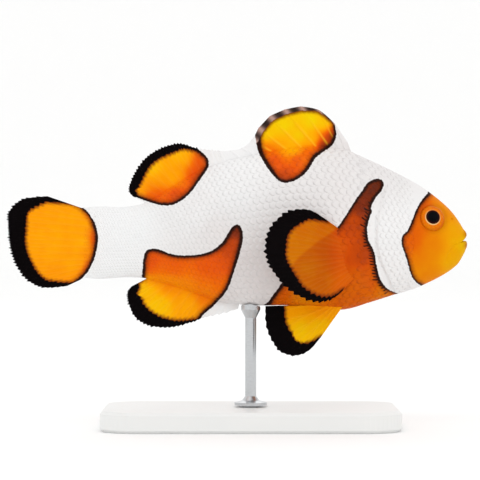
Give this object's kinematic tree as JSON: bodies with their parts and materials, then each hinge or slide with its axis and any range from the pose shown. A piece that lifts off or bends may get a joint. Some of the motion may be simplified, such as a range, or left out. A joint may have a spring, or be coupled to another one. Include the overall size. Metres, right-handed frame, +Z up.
{
  "type": "clownfish display model",
  "caption": "Life-size clownfish model, white with orange patches and black-edged fins, held level on a slim rod above a flat rounded base.",
  "frame": {"origin": "on the underside of the stand's base, below the middle of the fish's total length and in its plane of symmetry", "axes": "+X towards the snout, +Y towards the fish's left side, +Z up"},
  "size_m": [0.0901, 0.038, 0.063],
  "materials": {
    "skin_white": "satin, pearl white",
    "skin_orange": "satin, orange",
    "fin_yellow": "satin, yellow-orange with a black edge",
    "eye_black": "high gloss",
    "stand_white": "satin",
    "stand_steel": "fine brushed"
  },
  "bodies": {
    "root": {"head": "skin_orange", "lower_jaw": "skin_orange", "trunk": "skin_white", "tail_stem": "skin_white", "gill_cover_right": "skin_white", "gill_cover_left": "skin_white", "eye_right": "eye_black", "eye_left": "eye_black", "dorsal_fin_spiny": "fin_yellow", "dorsal_fin_soft": "fin_yellow", "anal_fin": "fin_yellow", "caudal_fin": "fin_yellow", "pectoral_fin_right": "fin_yellow", "pectoral_fin_left": "fin_yellow", "pelvic_fin_right": "fin_yellow", "pelvic_fin_left": "fin_yellow", "stand_base": "stand_white", "stand_rod": "stand_steel"}
  },
  "joints": []
}
